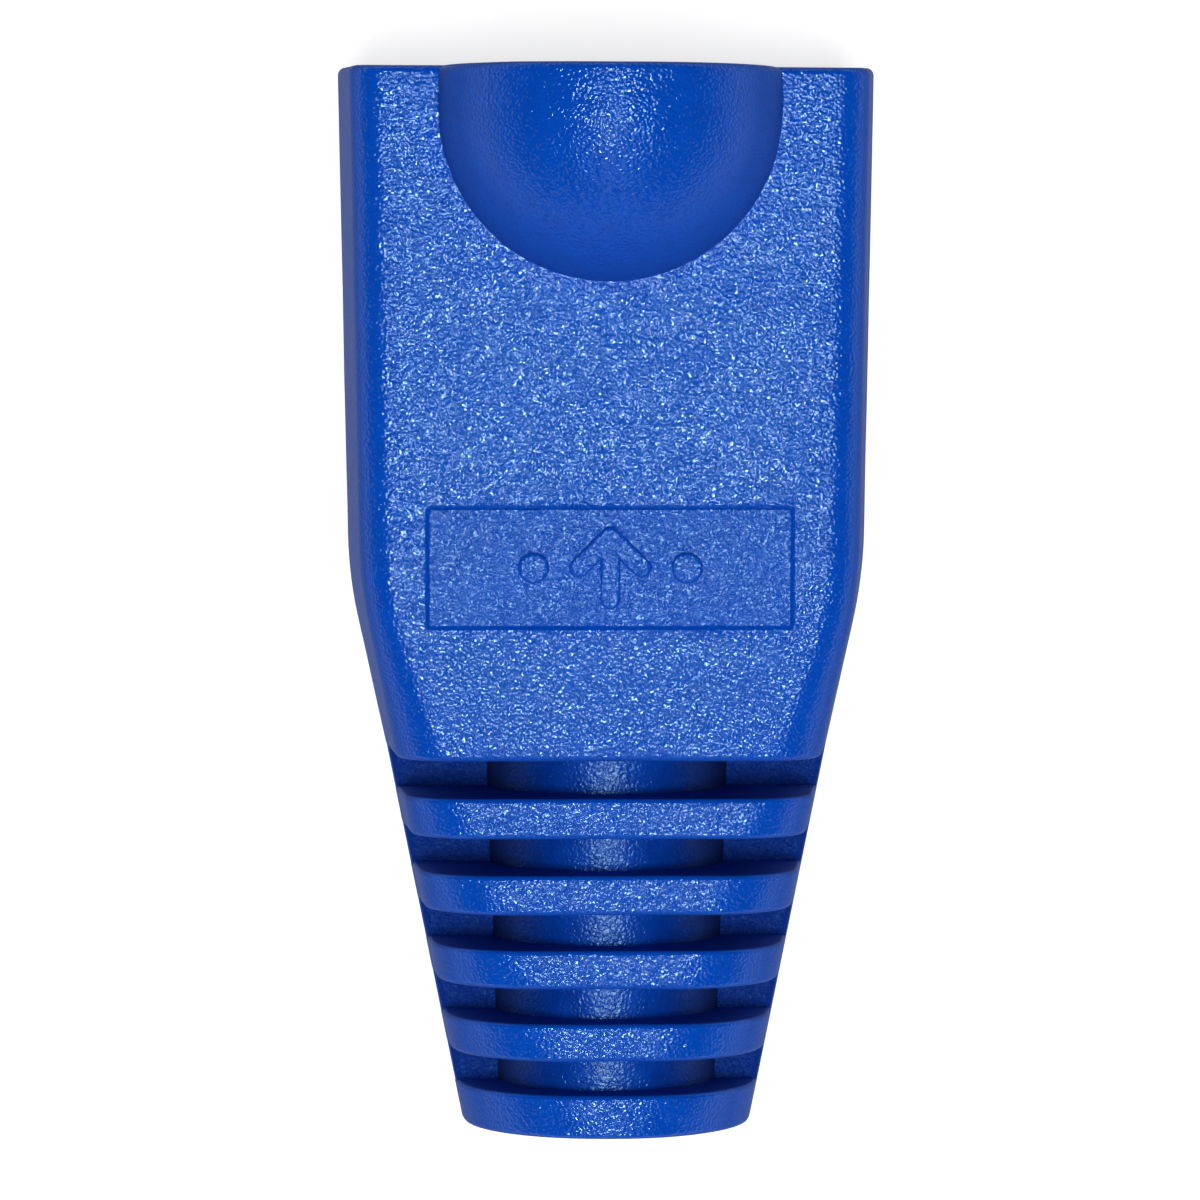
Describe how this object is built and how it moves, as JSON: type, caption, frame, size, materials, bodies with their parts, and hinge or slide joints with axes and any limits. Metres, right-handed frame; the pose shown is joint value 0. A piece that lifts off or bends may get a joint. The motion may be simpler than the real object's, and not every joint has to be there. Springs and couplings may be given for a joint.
{
  "type": "rj45 strain relief boot",
  "caption": "Soft one-piece boot for a patch cord plug: hollow body with a domed latch cover and a ribbed, tapering tail round the cable bore.",
  "frame": {"origin": "on the flat back face, under the centre of the bounding box", "axes": "+Y towards the mouth, where the plug goes in; -Y towards the tail, where the cable leaves; +X across the boot; +Z out of the front face, through the latch dome"},
  "size_m": [0.014, 0.0276, 0.0146],
  "materials": {
    "boot": "moulded soft PVC, saturated blue, fine spark-eroded grain with a satin sheen"
  },
  "bodies": {
    "root": {"strain_relief_boot": "boot"}
  },
  "joints": []
}
